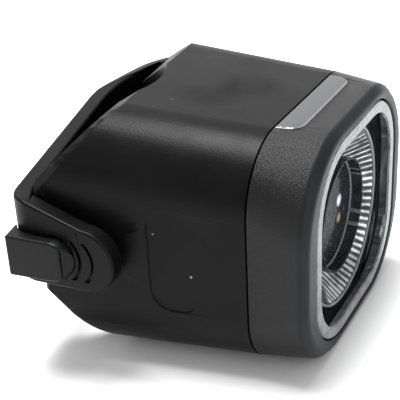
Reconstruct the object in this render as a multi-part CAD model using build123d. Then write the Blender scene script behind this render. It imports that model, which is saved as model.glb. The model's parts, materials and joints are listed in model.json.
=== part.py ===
# Rechargeable bicycle headlight with a rubber bar strap.
# Lengths are in millimetres.
# The origin is on the axis of the handlebar that the light sits on, midway across the light.
# +X points to the lens, +Z across the light along the bar, +Y to the side that is the top in use.
# The light lies on its lower (-Z) side.
import math
import os

from build123d import *

# Handlebar seat
bar_radius = 16.0
seat_to_parting = 39.6
seat_to_optic = 4.5

# Housing outline at the parting plane between bezel and rear housing
body_low_reach = 22.4
body_high_reach = 22.0
body_half_width = 19.0
corner_radius = 10.8
wall = 2.0
seat_wall = 2.2

# Growth of the outline per millimetre behind the parting plane
low_flare = 0.0885
high_flare = 0.0365
side_flare = 0.0615

# Horns that carry the seat: the near one is the narrow one, the far one the wide one
near_shoulder_run = 24.0
near_horn_run = 34.5
near_tip_half = 10.0
near_tip_round = 0.8
far_shoulder_run = 27.3
far_horn_run = 35.6
far_tip_half = 14.6
cavity_run = 24.2
parting_gap = 0.3

# Front bezel
bezel_depth = 9.4
bezel_low_growth = 0.35
bezel_high_growth = 0.1
bezel_side_growth = -0.1
bezel_corner_radius = 14.7
corner_facets = 12
bezel_edge_chamfer = 1.1
bezel_wall = 2.0
bezel_flange = 1.5
spigot_length = 3.0
spigot_wall = 1.2
spigot_clearance = 0.1

# Lens and its seat
lens_half_height = 18.2
lens_half_width = 16.8
lens_corner_radius = 11.5
lens_thickness = 2.2
lens_setback = 0.15
lens_clearance = 0.2
lens_rim = 2.0
lens_rim_step = 0.35
lens_edge_chamfer = 0.25
lens_land = 1.6
land_thickness = 1.35
gasket_thickness = 0.8
gasket_clearance = 0.1

# Reflector with its fluted bowl
reflector_gap = 0.15
flange_thickness = 0.8
bowl_front_radius = 14.3
bowl_rear_radius = 9.8
bowl_depth = 5.5
bowl_shell = 0.9
flute_count = 72
flute_depth = 0.3
collar_length = 3.5

# Collimator lens, LED and boards
collimator_clearance = 0.25
collimator_flange = 1.0
collimator_neck_radius = 3.6
collimator_lift = 0.5
pocket_radius = 2.5
pocket_depth = 2.4
led_size = 3.5
led_base = 0.7
led_dome_radius = 1.5
led_dome_height = 1.4
led_dome_chamfer = 0.8
led_board_radius = 12.6
led_board_thickness = 1.0
heat_sink_thickness = 2.0
heat_sink_clearance = 0.2
board_play = 0.05

# Side windows
window_depth = 4.0
window_thickness = 1.7
window_corner_radius = 2.8
window_clearance = 0.1
window_proud = 0.12
window_ledge = 0.8
window_edge_chamfer = 0.2
side_led_length = 9.0
side_led_height = 1.2
side_led_gap = 0.3
side_led_reach = 6.0

# Housing seal
seal_inset = 0.9
seal_depth = 1.0
seal_clearance = 0.05

# Screw posts
post_offset_high = 16.4
post_offset_side = 10.0
post_radius = 2.3
screw_radius = 1.0
screw_head_radius = 1.9
screw_head_height = 1.2
screw_length = 7.0
screw_tip_gap = 1.0
screw_clearance = 0.1

# Battery
cell_thickness = 9.5
cell_width = 19.0
cell_length = 30.0
cell_round = 1.8
cell_centre = -2.0
pad_thickness = 0.8
cradle_wall = 1.2
cradle_clearance = 0.3
cradle_lip = 6.0
lead_radius = 0.6
lead_offset = 4.0

# Main board, parallel to the top face in use
board_depth = 8.2
board_thickness = 1.2
board_length = 16.6
board_end_gap = 1.6
board_half_width = 8.2
rail_width = 1.2
rail_thickness = 1.0

# Power button and its switch
button_gap = 1.4
button_radius = 4.2
button_clearance = 0.15
button_proud = 0.6
button_edge_chamfer = 0.4
button_dish_radius = 2.6
button_dish_depth = 0.25
button_flange_radius = 4.9
button_flange_thickness = 0.9
button_flange_play = 0.1
button_travel = 0.5
button_stem_radius = 2.0
switch_size = 6.0
switch_height = 3.4
plunger_radius = 1.7
plunger_height = 0.8
plunger_clearance = 0.08

# Charge indicator in the middle of the button
indicator_radius = 1.1
indicator_depth = 1.2

# Charging port and its cover
port_from_board_end = 2.2
socket_length = 9.0
socket_width = 3.3
socket_wall = 0.35
socket_top_depth = 1.15
socket_clearance = 0.25
cover_length = 14.0
cover_width = 6.4
cover_thickness = 0.9
cover_corner_radius = 2.2
cover_clearance = 0.15
plug_length = 7.7
plug_width = 1.7
plug_depth = 1.0
cover_root_width = 1.2
cover_root_gap = 0.2
cover_pull_height = 0.5
cover_pull_width = 0.9
cover_pull_length = 6.0
tongue_thickness = 0.7
tongue_length = 6.7
socket_mouth_depth = 4.5

# Strap
strap_thickness = 2.9
strap_clearance = 0.3
strap_near_half = 7.1
strap_near_lean = 1.6
strap_far_half = 14.3
strap_far_slant = 0.25
strap_bulge_back = 1.9
strap_bulge_height = 12.6
strap_bulge_round = 25.0
strap_near_round = 3.2
strap_far_round = 4.6
strap_near_shift = 0.2
strap_far_reach = 3.0
strap_root_half = 12.0
strap_pocket_length = 8.5
strap_pocket_clearance = 0.15
strap_butt_gap = 0.1
pin_from_end = 2.7
pin_radius = 1.0
pin_clearance = 0.05
pin_wall = 1.4
outline_reach = 20.0
tab_run = 24.2
tab_half_width = 5.3
tab_lean = 0.2
groove_depth = 0.5
groove_width = 0.55
groove_radius = 4.6
groove_half_height = 3.4
groove_runs = (24.7, 22.5)

# Strap hook
hook_run = 29.1
hook_neck_radius = 3.3
hook_nose_overhang = 0.1
hook_rear_run = 36.5
hook_rear_half = 3.5
hook_face_length = 9.2
hook_face_drop = 0.7
hook_head_thickness = 2.3
hook_lip_reach = 3.0
hook_lip_lean = 0.8
hook_clearance = 0.15
hook_foot_depth = 4.0

# Plain recessed pad on the underside in use
pad_front_run = 7.6
pad_rear_run = 15.8
pad_half_length = 8.8
pad_corner_radius = 3.4
pad_recess = 0.3

# Places derived from the sizes above
parting_x = seat_to_parting
optic_y = seat_to_optic
front_x = parting_x + bezel_depth
bezel_rear_x = parting_x + parting_gap / 2
near_horn_x = parting_x - near_horn_run
far_horn_x = parting_x - far_horn_run
board_rear_run = cavity_run - board_end_gap
board_front_run = board_rear_run - board_length
port_run = board_rear_run - port_from_board_end
cover_edge_run = port_run - cover_width / 2 - cover_root_gap - cover_root_width
button_run = cover_edge_run - button_gap - button_radius
strap_pocket_run = far_horn_run - strap_pocket_length
strap_far_run = far_horn_run + strap_far_reach
pin_run = strap_pocket_run + pin_from_end
big = 80.0


def low_y(run):
    """Height of the underside face at a distance behind the parting plane."""
    return optic_y - body_low_reach - low_flare * run


def high_y(run):
    """Height of the top face at a distance behind the parting plane."""
    return optic_y + body_high_reach + high_flare * run


def half_z(run):
    """Half of the width across the side faces at a distance behind the parting plane."""
    return body_half_width + side_flare * run


def top_view(run_front, run_rear, inset=0.0):
    """Outline of the rear housing seen along the bar, drawn in by an inset."""
    corners = [
        (parting_x - run_front, low_y(run_front) + inset),
        (parting_x - run_front, high_y(run_front) - inset),
        (parting_x - run_rear, high_y(run_rear) - inset),
        (parting_x - run_rear, low_y(run_rear) + inset),
    ]
    return make_face(Polyline(corners, close=True))


def body_span(run_front, run_rear, inset=0.0):
    """Rear housing between two distances behind the parting plane, drawn in by an inset."""
    side_view = [
        (parting_x - run_front, 0, half_z(run_front) - inset),
        (parting_x - run_rear, 0, half_z(run_rear) - inset),
        (parting_x - run_rear, 0, inset - half_z(run_rear)),
        (parting_x - run_front, 0, inset - half_z(run_front)),
    ]
    across = extrude(top_view(run_front, run_rear, inset), amount=big, both=True)
    along = extrude(make_face(Polyline(side_view, close=True)), amount=big, both=True)
    body = across & along
    long_edges = body.edges().filter_by(lambda edge: abs(edge.tangent_at(0.5).X) > 0.9)
    return fillet(long_edges, corner_radius - inset)


def corner_points(x, y_low, y_high, half, radius):
    """Corner points of a rounded outline across the light, with flat facets for its corners."""
    points = []
    corners = [
        (y_high - radius, half - radius),
        (y_low + radius, half - radius),
        (y_low + radius, radius - half),
        (y_high - radius, radius - half),
    ]
    for quarter, (y, z) in enumerate(corners):
        for index in range(corner_facets + 1):
            angle = math.pi / 2 * (quarter + index / corner_facets)
            points.append((x, y + radius * math.cos(angle), z + radius * math.sin(angle)))
    return points


def bezel_section(forward, inset=0.0):
    """Outline of the bezel at a distance in front of the parting plane, drawn in by an inset."""
    share = forward / bezel_depth
    return corner_points(
        parting_x + forward,
        low_y(0) - bezel_low_growth * share + inset,
        high_y(0) + bezel_high_growth * share - inset,
        half_z(0) + bezel_side_growth * share - inset,
        corner_radius + (bezel_corner_radius - corner_radius) * share - inset,
    )


def facet_body(outlines):
    """Solid through similar outlines, with one flat facet per side from each to the next."""
    faces = [make_face(Polyline(points, close=True)) for points in (outlines[0], outlines[-1])]
    for rear_points, front_points in zip(outlines, outlines[1:]):
        for index in range(len(rear_points)):
            corners = [
                rear_points[index - 1],
                rear_points[index],
                front_points[index],
                front_points[index - 1],
            ]
            faces.append(make_face(Polyline(corners, close=True)))
    return Solid(Shell(faces))


def bezel_span(forward_rear, forward_front, inset=0.0):
    """Solid between two sections of the bezel."""
    return facet_body([bezel_section(forward_rear, inset), bezel_section(forward_front, inset)])


def lens_outline(x, inset=0.0):
    """Outline of the lens at a place along X, drawn in by an inset."""
    return corner_points(
        x,
        optic_y - lens_half_height + inset,
        optic_y + lens_half_height - inset,
        lens_half_width - inset,
        lens_corner_radius - inset,
    )


def lens_block(x_rear, x_front, inset=0.0):
    """Prism of the lens outline between two places along X."""
    return facet_body([lens_outline(x_rear, inset), lens_outline(x_front, inset)])


def optic_disc(x_rear, x_front, radius):
    """Round disc on the optical axis."""
    length = x_front - x_rear
    return Pos((x_rear + x_front) / 2, optic_y, 0) * Rot(0, 90, 0) * Cylinder(radius, length)


def optic_revolve(points):
    """Body of revolution about the optical axis from points (x, radius)."""
    line = Polyline([(x, optic_y + radius) for x, radius in points], close=True)
    return revolve(make_face(line), axis=Axis((0, optic_y, 0), (1, 0, 0)))


def bar_cylinder(radius):
    """Cylinder on the axis of the handlebar."""
    return Cylinder(radius, big)


def top_frame(run):
    """Frame on the top face: local X forward, local Z outward."""
    return Plane(
        origin=(parting_x - run, high_y(run), 0),
        x_dir=(1, -high_flare, 0),
        z_dir=(high_flare, 1, 0),
    )


def under_frame(run):
    """Frame on the underside face: local X forward, local Z outward."""
    return Plane(
        origin=(parting_x - run, low_y(run), 0),
        x_dir=(1, low_flare, 0),
        z_dir=(low_flare, -1, 0),
    )


def post_places():
    """Places of the four screw posts across the light."""
    for side_y in (-1, 1):
        for side_z in (-1, 1):
            yield optic_y + side_y * post_offset_high, side_z * post_offset_side


def rod_x(x_rear, x_front, radius, y, z):
    """Rod along X."""
    return Pos((x_rear + x_front) / 2, y, z) * Rot(0, 90, 0) * Cylinder(radius, x_front - x_rear)


def block(x_low, x_high, y_low, y_high, z_low, z_high):
    """Box between two corners."""
    size = (x_high - x_low, y_high - y_low, z_high - z_low)
    middle = ((x_low + x_high) / 2, (y_low + y_high) / 2, (z_low + z_high) / 2)
    return Pos(*middle) * Box(*size)


# Stations along X, from the lens back
lens_front_x = front_x - lens_setback
lens_rear_x = lens_front_x - lens_thickness
land_front_x = lens_rear_x - gasket_thickness
land_rear_x = land_front_x - land_thickness
flange_front_x = lens_rear_x - reflector_gap
flange_rear_x = flange_front_x - flange_thickness
bowl_rear_x = flange_front_x - bowl_depth
led_board_front_x = bowl_rear_x - collar_length
led_board_rear_x = led_board_front_x - led_board_thickness
heat_sink_front_x = led_board_rear_x
heat_sink_rear_x = heat_sink_front_x - heat_sink_thickness
pad_rear_x = heat_sink_rear_x - pad_thickness
cell_rear_x = pad_rear_x - cell_thickness
cradle_rear_x = cell_rear_x - cradle_clearance - cradle_wall
cavity_rear_x = parting_x - cavity_run
strap_tab_y = low_y(near_horn_run) - strap_clearance - strap_thickness / 2
strap_corner_x = near_horn_x - strap_clearance - strap_thickness / 2 + strap_near_shift


def horn_outline(y, shoulder_run, tip_run, tip_half):
    """Side view of the housing at one height: wide up to the shoulders, then two slanted edges."""
    slope = (half_z(shoulder_run) - tip_half) / (tip_run - shoulder_run)
    front_half = tip_half + slope * tip_run
    rear_half = tip_half + slope * (tip_run - max(near_horn_run, far_horn_run))
    rear_x = min(near_horn_x, far_horn_x)
    points = [
        (parting_x, y, -front_half),
        (parting_x, y, front_half),
        (rear_x, y, rear_half),
        (rear_x, y, -rear_half),
    ]
    return make_face(Polyline(points, close=True))


def horn_prism():
    """Body whose slanted faces turn from the narrow near horn to the wide far horn."""
    near_y = low_y(near_horn_run)
    far_y = high_y(far_horn_run)
    near = horn_outline(near_y, near_shoulder_run, near_horn_run, near_tip_half)
    far = horn_outline(far_y, far_shoulder_run, far_horn_run, far_tip_half)
    return loft([near, far], ruled=True)


def make_housing_shell():
    """Outer form of the rear housing with its two horns and the seat."""
    rear_run = max(near_horn_run, far_horn_run)
    outer = body_span(parting_gap / 2, rear_run) & horn_prism()
    plan = make_face(Polyline([
        (parting_x, low_y(0)),
        (parting_x, high_y(0)),
        (far_horn_x, high_y(far_horn_run)),
        (near_horn_x, low_y(near_horn_run)),
    ], close=True))
    near_corner = plan.vertices().sort_by(Axis.X)[:2].sort_by(Axis.Y)[0]
    plan = fillet(near_corner, near_tip_round)
    outer = outer & extrude(plan, amount=big, both=True)
    return outer - bar_cylinder(bar_radius)


def make_cavity():
    """Hollow of the rear housing, open to the front."""
    hollow = body_span(0, cavity_run, wall)
    hollow = hollow - bar_cylinder(bar_radius + seat_wall)
    for y, z in post_places():
        post = rod_x(cavity_rear_x - wall, heat_sink_rear_x, post_radius, y, z)
        hollow = hollow - post
    rail = top_frame(board_rear_run) * Pos(0, 0, -board_depth - board_thickness - rail_thickness)
    reach = board_rear_run - board_front_run
    for side in (-1, 1):
        middle = side * (board_half_width + big / 2 - rail_width)
        strip = Pos(reach / 2, middle, rail_thickness / 2) * Box(reach, big, rail_thickness)
        hollow = hollow - rail * strip
    return hollow


def make_rear_housing():
    """Rear housing: shell, screw posts, board rails, ports, strap pocket and hook seat."""
    body = make_housing_shell() - make_cavity()
    body -= body_span(0, parting_gap / 2 + seal_depth, seal_inset)
    for y, z in post_places():
        hole_rear = heat_sink_front_x - screw_length - screw_tip_gap
        body -= rod_x(hole_rear, heat_sink_front_x, screw_radius + screw_clearance, y, z)
    body -= top_frame(button_run) * Cylinder(button_radius + button_clearance, 3 * wall)
    port = top_frame(port_run)
    body -= port * cover_recess()
    body -= port * socket_block(socket_clearance, -2 * wall, 0)
    strap_space = strap_thickness + 2 * strap_pocket_clearance
    pocket_half = strap_root_half + strap_pocket_clearance
    pocket = Box(big, 2 * pocket_half, 2 * strap_space)
    body -= top_frame(strap_pocket_run) * Pos(-big / 2, 0, 0) * pocket
    body -= strap_band(strap_space, pocket_half)
    body -= make_anchor_pin(pin_clearance)
    body -= hook_post(hook_clearance / 3, hook_foot_depth)
    pad_length = pad_rear_run - pad_front_run
    pad = RectangleRounded(pad_length, 2 * pad_half_length, pad_corner_radius)
    pad_place = under_frame((pad_front_run + pad_rear_run) / 2) * Pos(0, 0, -pad_recess)
    return body - pad_place * extrude(pad, amount=1.0)


def make_housing_seal():
    """Rubber ring in the rebate between the housing and the bezel."""
    ring = body_span(-parting_gap / 2, parting_gap / 2 + seal_depth, seal_inset + seal_clearance)
    return ring - body_span(-1.0, parting_gap / 2 + seal_depth + 1.0, wall)


def window_outline(grow):
    """Outline of a side window in plan, with a straight rear edge on the parting line."""
    y_start = low_y(0) + corner_radius
    y_end = high_y(0) - corner_radius
    x_rear = bezel_rear_x - 1.0
    x_front = parting_x + window_depth
    length = x_front - x_rear + grow
    width = y_end - y_start + 2 * grow
    place = Pos(x_rear + length / 2, (y_start + y_end) / 2)
    plan = place * Rectangle(length, width)
    front_corners = plan.vertices().group_by(Axis.X)[-1]
    return fillet(front_corners, window_corner_radius + grow)


def window_plate(side, grow, z_low, z_high, x_start):
    """Plate of the window outline between two heights on one side face."""
    plate = extrude(window_outline(grow), amount=z_high - z_low)
    plate = Pos(0, 0, z_low) * plate
    plate -= block(x_start - 10.0, x_start, -big, big, 0, big)
    if side < 0:
        plate = mirror(plate, about=Plane.XY)
    return plate


def make_front_bezel():
    """Front bezel: rounded frame with a lens seat, window notches and a spigot."""
    outer = facet_body([
        bezel_section(parting_gap / 2),
        bezel_section(bezel_depth - bezel_edge_chamfer),
        bezel_section(bezel_depth, bezel_edge_chamfer),
    ])
    body = outer - lens_block(land_front_x, front_x + 1.0, -lens_clearance)
    body -= lens_block(land_rear_x - 1.0, land_front_x + 1.0, lens_land)
    flange_run = parting_gap / 2 + bezel_flange
    body -= bezel_span(flange_run, land_rear_x - parting_x, bezel_wall)
    spigot_inset = wall + spigot_clearance
    body += body_span(-flange_run, spigot_length, spigot_inset)
    body -= body_span(-flange_run - 1.0, spigot_length + 1.0, spigot_inset + spigot_wall)
    for side in (-1, 1):
        seat_z = half_z(0) - window_thickness
        body -= window_plate(side, window_clearance, seat_z, big, bezel_rear_x - 0.5)
        body -= window_plate(side, -window_ledge, 0.6 * half_z(0), big, parting_x + window_ledge)
    return body


def make_side_window(side):
    """Frosted side window, a little proud of the bezel."""
    z_high = half_z(0) + window_proud
    plate = window_plate(1, 0.0, half_z(0) - window_thickness, z_high, bezel_rear_x)
    plate = chamfer(plate.faces().sort_by(Axis.Z)[-1].edges(), window_edge_chamfer)
    return plate if side > 0 else mirror(plate, about=Plane.XY)


def make_side_leds():
    """One LED riser behind each side window, standing on the carrier plate."""
    leds = []
    z_high = half_z(0) - wall - spigot_clearance - spigot_wall - side_led_gap
    for side in (-1, 1):
        led = block(
            heat_sink_front_x,
            heat_sink_front_x + side_led_reach,
            optic_y - side_led_length / 2,
            optic_y + side_led_length / 2,
            z_high - side_led_height,
            z_high,
        )
        leds.append(led if side > 0 else mirror(led, about=Plane.XY))
    return Compound(children=leds)


def make_front_lens():
    """Clear lens with a raised rim around a slightly sunk window."""
    lens = facet_body([
        lens_outline(lens_rear_x),
        lens_outline(lens_front_x - lens_edge_chamfer),
        lens_outline(lens_front_x, lens_edge_chamfer),
    ])
    lens -= lens_block(lens_front_x - lens_rim_step, lens_front_x + 1.0, lens_rim)
    return lens


def make_lens_gasket():
    """Flat rubber ring between the lens and its land."""
    ring = lens_block(land_front_x, lens_rear_x, gasket_clearance)
    return ring - lens_block(land_front_x - 1.0, lens_rear_x + 1.0, lens_land)


def flute_star(x, radius):
    """Corner points of the flutes' star outline at a place along X."""
    points = []
    for index in range(2 * flute_count):
        angle = math.pi * index / flute_count
        reach = radius * (1 - flute_depth / bowl_front_radius * (index % 2))
        points.append((x, optic_y + reach * math.cos(angle), reach * math.sin(angle)))
    return points


def make_reflector():
    """Reflector: square dark plate, fluted bowl and the collar that stands on the LED board."""
    outline_inset = lens_land + reflector_gap
    shell_front = bowl_front_radius + bowl_shell
    shell_rear = bowl_rear_radius + bowl_shell
    bowl = optic_revolve([
        (flange_rear_x, 0.0),
        (flange_rear_x, shell_front),
        (bowl_rear_x, shell_rear),
        (led_board_front_x, shell_rear),
        (led_board_front_x, 0.0),
    ])
    body = lens_block(flange_rear_x, flange_front_x, outline_inset) + bowl
    body = body & lens_block(led_board_front_x - 1.0, flange_front_x, outline_inset)
    rise = (bowl_front_radius - bowl_rear_radius) / bowl_depth
    over = 0.5
    front_star = flute_star(flange_front_x + over, bowl_front_radius + rise * over)
    rear_star = flute_star(bowl_rear_x, bowl_rear_radius)
    body -= facet_body([rear_star, front_star])
    return body - optic_disc(led_board_front_x - 1.0, bowl_rear_x + 0.1, bowl_rear_radius - flute_depth)


def make_collimator():
    """Clear cone lens over the LED, with a pocket for the LED in its back."""
    radius = bowl_rear_radius - flute_depth - collimator_clearance
    front = bowl_rear_x + collimator_lift
    rear = led_board_front_x
    return optic_revolve([
        (rear, pocket_radius),
        (rear, collimator_neck_radius),
        (front - collimator_flange, radius),
        (front, radius),
        (front, 0.0),
        (rear + pocket_depth, 0.0),
        (rear + pocket_depth, pocket_radius),
    ])


def make_led_emitter():
    """LED package: square base and clear dome."""
    base_front = led_board_front_x + led_base
    half = led_size / 2
    base = block(led_board_front_x, base_front, optic_y - half, optic_y + half, -half, half)
    dome = optic_disc(base_front, base_front + led_dome_height, led_dome_radius)
    dome = chamfer(dome.edges().sort_by(Axis.X)[-1], led_dome_chamfer)
    return base + dome


def make_heat_sink():
    """Aluminium carrier plate with four screw holes."""
    run_front = parting_x - heat_sink_front_x
    run_rear = parting_x - heat_sink_rear_x
    plate = body_span(run_front, run_rear, wall + heat_sink_clearance)
    for y, z in post_places():
        plate -= rod_x(heat_sink_rear_x - 1, heat_sink_front_x + 1, screw_radius + screw_clearance, y, z)
    return plate


def make_carrier_screws():
    """Four identical pan-head screws that hold the carrier plate to the posts."""
    screws = []
    for y, z in post_places():
        under_head = heat_sink_front_x
        shank = rod_x(under_head - screw_length, under_head, screw_radius, y, z)
        head = rod_x(under_head, under_head + screw_head_height, screw_head_radius, y, z)
        screws.append(shank + head)
    return Compound(children=screws)


def make_battery_cell():
    """Flat lithium cell."""
    y_low = optic_y + cell_centre - cell_width / 2
    half = cell_length / 2
    cell = block(cell_rear_x, pad_rear_x, y_low, y_low + cell_width, -half, half)
    return fillet(cell.edges().filter_by(Axis.Z), cell_round)


def make_battery_pad():
    """Foam pad between the cell and the carrier plate."""
    y_low = optic_y + cell_centre - cell_width / 2 + cell_round
    half = cell_length / 2 - cell_round
    y_high = y_low + cell_width - 2 * cell_round
    return block(pad_rear_x, heat_sink_rear_x, y_low, y_high, -half, half)


def make_battery_cradle():
    """Open tray round the cell, standing on the seat wall with two legs."""
    middle = optic_y + cell_centre
    inner_y = cell_width / 2 + cradle_clearance
    inner_z = cell_length / 2 + cradle_clearance
    outer_y = inner_y + cradle_wall
    outer_z = inner_z + cradle_wall
    front = cell_rear_x + cradle_lip
    tray = block(cradle_rear_x, front, middle - outer_y, middle + outer_y, -outer_z, outer_z)
    floor_front = cradle_rear_x + cradle_wall
    tray -= block(floor_front, front + 1, middle - inner_y, middle + inner_y, -inner_z, inner_z)
    for side in (-1, 1):
        z_low = side * inner_z / 2 - cradle_wall
        leg = block(cavity_rear_x, cradle_rear_x, -cell_width / 4, cell_width / 4, z_low, z_low + 2 * cradle_wall)
        tray += leg - bar_cylinder(bar_radius + seat_wall)
    return tray


def make_battery_leads():
    """Two short leads from the cell to the main board."""
    leads = []
    x = pad_rear_x - lead_radius - cell_round
    run = parting_x - x
    y_low = optic_y + cell_centre + cell_width / 2
    y_high = high_y(run) - board_depth - board_thickness - 2 * board_play
    for side in (-1, 1):
        place = Pos(x, (y_low + y_high) / 2, side * lead_offset) * Rot(90, 0, 0)
        leads.append(place * Cylinder(lead_radius, y_high - y_low))
    return Compound(children=leads)


def make_main_board():
    """Main circuit board on its two rails."""
    length = board_rear_run - board_front_run
    place = top_frame((board_rear_run + board_front_run) / 2)
    place = place * Pos(0, 0, -board_depth - board_thickness / 2)
    return place * Box(length, 2 * board_half_width, board_thickness)


def make_tact_switch():
    """Body of the tact switch, with the bore of its plunger."""
    top = switch_height - board_depth
    body = Pos(0, 0, top - switch_height / 2) * Box(switch_size, switch_size, switch_height)
    bore_depth = 2 * button_travel + plunger_height
    bore = Cylinder(plunger_radius + plunger_clearance, 2 * bore_depth)
    return top_frame(button_run) * (body - Pos(0, 0, top) * bore)


def make_switch_plunger():
    """Plunger of the tact switch, pushed by the button's stem."""
    top = switch_height - board_depth
    length = plunger_height + button_travel
    middle = top + plunger_height - length / 2
    return top_frame(button_run) * Pos(0, 0, middle) * Cylinder(plunger_radius, length)


def make_power_button():
    """Button: dished cap, retaining flange and stem."""
    flange_top = -wall - button_flange_play
    flange_low = flange_top - button_flange_thickness
    stem_low = switch_height - board_depth + plunger_height
    cap_height = button_proud - flange_top
    cap = Pos(0, 0, flange_top + cap_height / 2) * Cylinder(button_radius, cap_height)
    cap = chamfer(cap.edges().sort_by(Axis.Z)[-1], button_edge_chamfer)
    cap -= Pos(0, 0, button_proud) * Cylinder(button_dish_radius, 2 * button_dish_depth)
    flange_z = (flange_top + flange_low) / 2
    cap += Pos(0, 0, flange_z) * Cylinder(button_flange_radius, button_flange_thickness)
    stem_length = flange_low - stem_low
    cap += Pos(0, 0, stem_low + stem_length / 2) * Cylinder(button_stem_radius, stem_length)
    cap -= indicator_block()
    return top_frame(button_run) * cap


def indicator_block():
    """Round light guide in the middle of the button, in the button's own frame."""
    top = button_proud - button_dish_depth
    return Pos(0, 0, top - indicator_depth / 2) * Cylinder(indicator_radius, indicator_depth)


def make_charge_indicator():
    """Light guide of the charge indicator."""
    return top_frame(button_run) * indicator_block()


def cover_recess():
    """Recess of the port cover and its root, in the port's frame."""
    grow = 2 * cover_clearance
    length = cover_width + cover_root_gap + cover_root_width
    plan = RectangleRounded(length + grow, cover_length + grow, cover_corner_radius + cover_clearance)
    depth = cover_thickness + cover_clearance / 3
    shift = (length - cover_width) / 2
    return Pos(shift, 0, -depth) * extrude(plan, amount=depth + 1.0)


def socket_block(grow, z_low, z_high):
    """Rounded block of the charging socket's outline, in the port's frame."""
    width = socket_width + 2 * grow
    plan = RectangleRounded(width, socket_length + 2 * grow, width / 2 - 0.05)
    return Pos(0, 0, z_low) * extrude(plan, amount=z_high - z_low)


def make_usb_socket():
    """Charging socket standing on the main board, with its mouth and tongue."""
    body = socket_block(0, -board_depth, -socket_top_depth)
    mouth_low = -socket_top_depth - socket_mouth_depth
    body -= socket_block(-socket_wall, mouth_low, 0)
    tongue_height = socket_mouth_depth - plug_depth
    tongue = Box(tongue_thickness, tongue_length, tongue_height)
    body += Pos(0, 0, mouth_low + tongue_height / 2) * tongue
    return top_frame(port_run) * body


def make_port_cover():
    """Rubber flap over the charging port, with its plug and pull ridge."""
    plan = RectangleRounded(cover_width, cover_length, cover_corner_radius)
    flap = Pos(0, 0, -cover_thickness) * extrude(plan, amount=cover_thickness)
    hinge_x = cover_width / 2 - cover_thickness / 2
    flap -= Pos(hinge_x + big / 2, 0, 0) * Box(big, big, big)
    barrel = Cylinder(cover_thickness / 2, cover_length - 2 * cover_corner_radius)
    flap += Pos(hinge_x, 0, -cover_thickness / 2) * Rot(90, 0, 0) * barrel
    plug = RectangleRounded(plug_width, plug_length, plug_width / 2 - 0.05)
    flap += Pos(0, 0, -cover_thickness - plug_depth) * extrude(plug, amount=plug_depth)
    ridge_x = -cover_width / 2 + cover_pull_width
    ridge = Box(cover_pull_width, cover_pull_length, 2 * cover_pull_height)
    flap += Pos(ridge_x, 0, 0) * ridge
    return top_frame(port_run) * flap


def make_port_cover_anchor():
    """Fixed root of the port cover."""
    plan = RectangleRounded(
        cover_width + cover_root_gap + cover_root_width, cover_length, cover_corner_radius
    )
    shift = (cover_root_gap + cover_root_width) / 2
    strip = Pos(shift, 0, -cover_thickness) * extrude(plan, amount=cover_thickness)
    strip -= Pos(cover_width / 2 + cover_root_gap - big / 2, 0, 0) * Box(big, big, big)
    return top_frame(port_run) * strip


def strap_path():
    """Centreline of the strap seen along the bar: pull tab, near horn, far horn, pocket."""
    depth = strap_pocket_clearance + strap_thickness / 2
    far = top_frame(strap_far_run) * Pos(0, 0, -depth)
    end = top_frame(strap_pocket_run) * Pos(0, 0, -depth)
    return FilletPolyline(
        (parting_x - tab_run + tab_half_width, strap_tab_y),
        (strap_corner_x, strap_tab_y),
        (-strap_bulge_back, strap_bulge_height),
        (far.position.X, far.position.Y),
        (end.position.X, end.position.Y),
        radius=[strap_near_round, strap_bulge_round, strap_far_round],
    )


def strap_band(thickness, half_width):
    """Band of constant thickness and width along the strap's path."""
    path = strap_path()
    start = Plane(origin=path @ 0, z_dir=path % 0, x_dir=(0, 0, 1))
    return sweep(start * Rectangle(2 * half_width, thickness), path=path)


def prism_x(points):
    """Prism along X from points (y, z)."""
    face = make_face(Polyline([(0, y, z) for y, z in points], close=True))
    return extrude(face, amount=big, both=True)


def prism_y(points):
    """Prism along Y from points (x, z)."""
    face = make_face(Polyline([(x, 0, z) for x, z in points], close=True))
    return extrude(face, amount=big, both=True)


def leaning(stations):
    """Closed outline from stations (place, middle, half width)."""
    upper = [(place, middle + half) for place, middle, half in stations]
    lower = [(place, middle - half) for place, middle, half in stations]
    return upper + lower[::-1]


def make_strap():
    """Rubber strap, relaxed: wide at the far horn, narrow at the rounded pull tab."""
    strap = strap_band(strap_thickness, strap_far_half + 2.0)
    near_y = low_y(near_horn_run)
    far_y = high_y(far_horn_run) - strap_thickness
    strap &= prism_x(leaning([
        (near_y - outline_reach, strap_near_lean, strap_near_half),
        (near_y, strap_near_lean, strap_near_half),
        (far_y, 0, strap_far_half),
        (far_y + outline_reach, 0, strap_far_half),
    ]))
    tab_x = parting_x - tab_run
    tab_prism = prism_y(leaning([
        (near_horn_x - outline_reach, 0, strap_far_half),
        (near_horn_x - strap_clearance, 0, strap_far_half),
        (near_horn_x, strap_near_lean, strap_near_half),
        (tab_x, tab_lean, tab_half_width),
    ]))
    tab_prism += Pos(tab_x, 0, tab_lean) * Rot(90, 0, 0) * Cylinder(tab_half_width, 2 * big)
    below = block(-big, big, -big, near_y - strap_clearance / 2, -big, big)
    strap -= below - tab_prism
    butt_x = far_horn_x - strap_butt_gap
    side_length = outline_reach
    strap_side = leaning([
        (butt_x - side_length, 0, strap_far_half - strap_far_slant * side_length),
        (butt_x, 0, strap_far_half),
        (butt_x, 0, strap_root_half),
        (parting_x, 0, strap_root_half),
    ])
    above = block(-big, big, 0, big, -big, big)
    strap -= above - prism_y(strap_side)
    strap -= hook_post(hook_clearance, 0)
    strap -= make_anchor_pin(pin_clearance)
    tab_outer_y = near_y - strap_clearance - strap_thickness
    for run in groove_runs:
        centre_x = parting_x - run - groove_radius
        ring = Cylinder(groove_radius + groove_width / 2, 2 * groove_depth)
        ring -= Cylinder(groove_radius - groove_width / 2, 3 * groove_depth)
        ring = ring & Pos(groove_radius, 0, 0) * Box(2 * groove_radius, 2 * groove_half_height, 1)
        strap -= Pos(centre_x, tab_outer_y, 0) * Rot(90, 0, 0) * ring
    return strap


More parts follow.
